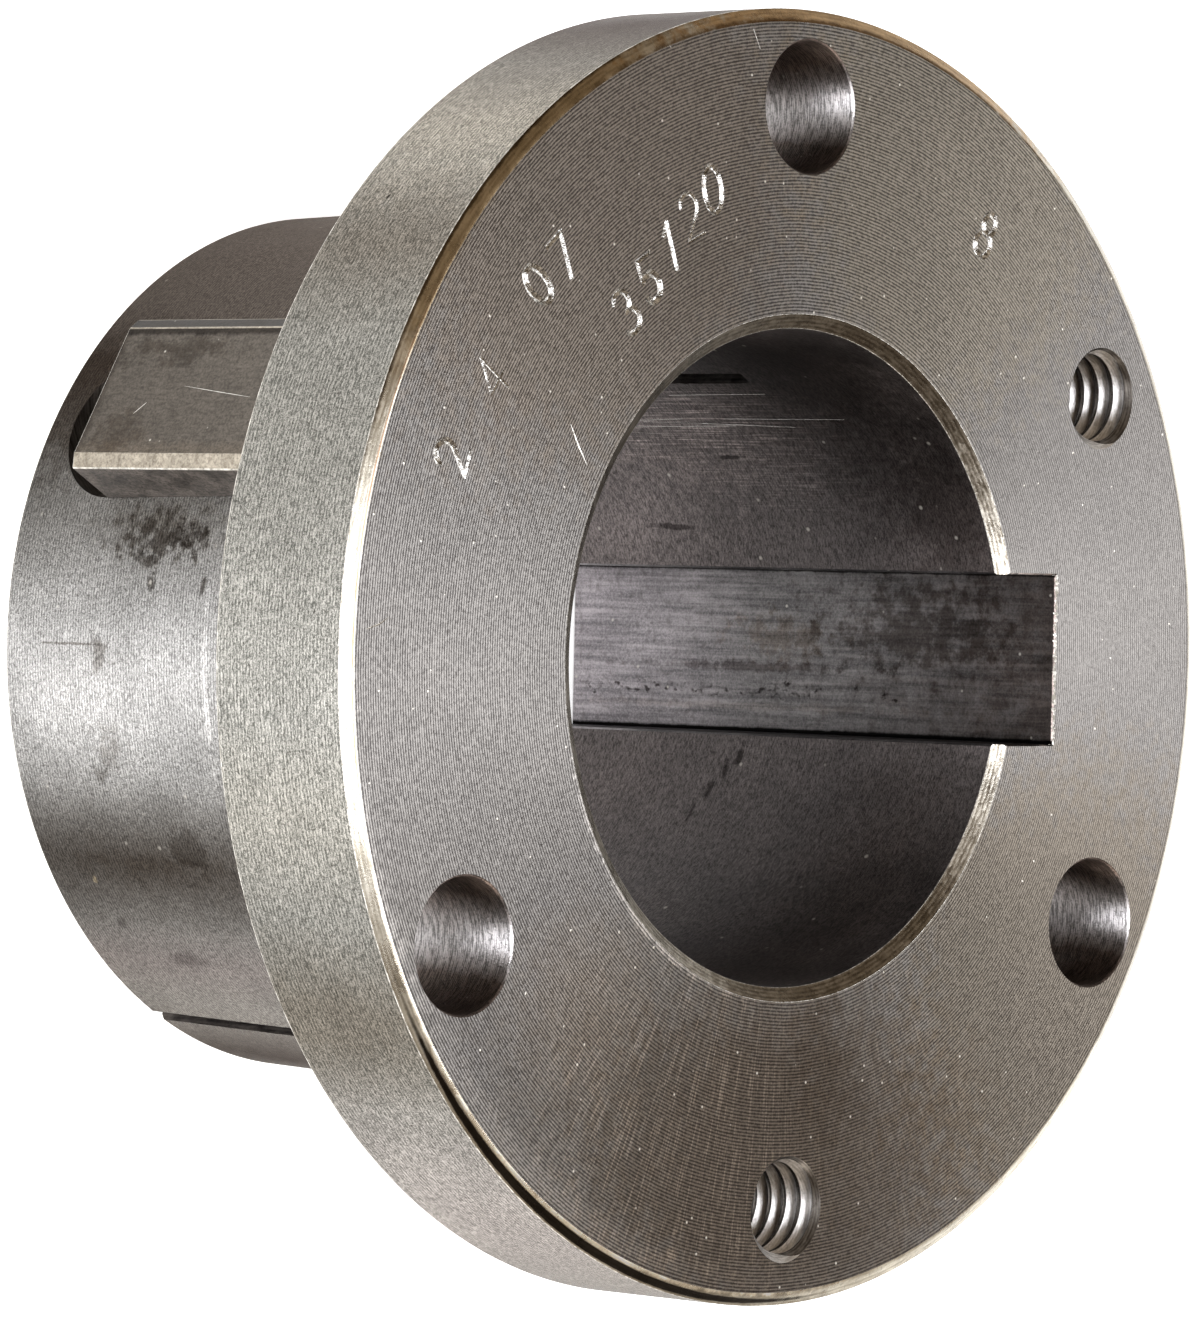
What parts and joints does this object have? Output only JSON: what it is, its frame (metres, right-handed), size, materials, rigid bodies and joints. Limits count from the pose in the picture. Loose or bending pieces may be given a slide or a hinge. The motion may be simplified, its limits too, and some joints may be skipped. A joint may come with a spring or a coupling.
{
  "type": "split taper bushing",
  "caption": "Flanged split taper bushing: keyed bore, tapered slit barrel with a square key seated in an end-milled pocket, clearance and tapped holes in the flange.",
  "frame": {"origin": "on the bore axis, in the plane of the barrel's small end, on which the bushing stands", "axes": "+Z along the bore axis and out of the flange face; +Y from the bore axis towards the middle of the keyway"},
  "size_m": [0.0936, 0.0936, 0.0492],
  "materials": {
    "turned_steel": "fine turned, unpolished, lightly oiled, with dull stains",
    "key_steel": "cold drawn bar, dark and lightly scratched, bright on its chamfers"
  },
  "bodies": {
    "root": {"bushing_body": "turned_steel", "external_key": "key_steel"}
  },
  "joints": []
}
